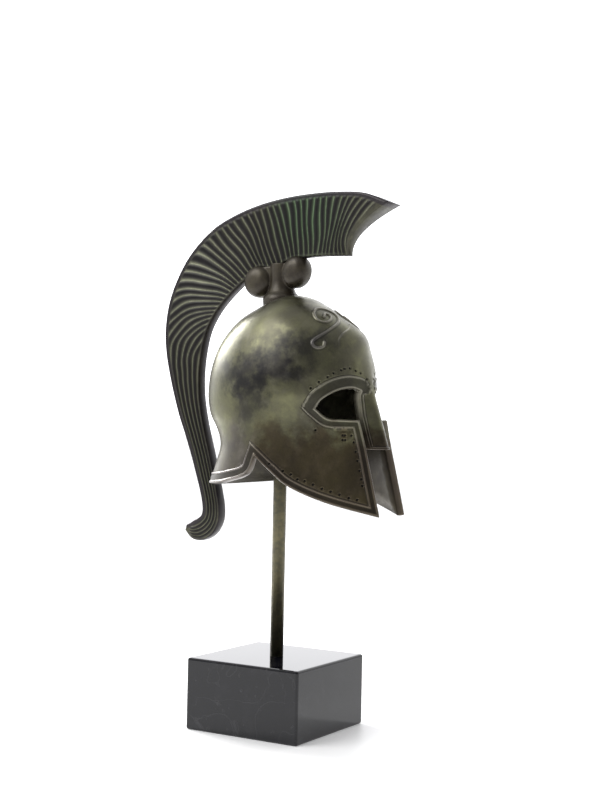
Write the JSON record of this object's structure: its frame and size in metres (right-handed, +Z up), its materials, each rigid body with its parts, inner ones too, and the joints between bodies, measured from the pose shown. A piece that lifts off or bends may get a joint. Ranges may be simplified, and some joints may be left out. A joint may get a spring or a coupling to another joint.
{
  "type": "miniature greek bronze helmet on a marble stand",
  "caption": "Small bronze Corinthian helmet with open face, neck guard and a tall ribbed crest that curls at its tail, held on a bronze rod in a square black marble base.",
  "frame": {"origin": "centre of the underside of the marble base", "axes": "+Z up along the rod, -Y the way the helmet faces, -X the helmet's right side; the crest lies in the plane x = 0"},
  "size_m": [0.0542, 0.1045, 0.2073],
  "materials": {
    "black_marble": "polished",
    "rod_bronze": "mottled green and brown patina",
    "helmet_bronze": "waxed olive patina",
    "holder_bronze": "waxed olive patina",
    "crest_bronze": "dark patina with worn ribs"
  },
  "bodies": {
    "root": {"marble_base": "black_marble", "support_rod": "rod_bronze", "helmet_bowl": "helmet_bronze", "crest_holder": "holder_bronze", "crest": "crest_bronze"}
  },
  "joints": []
}
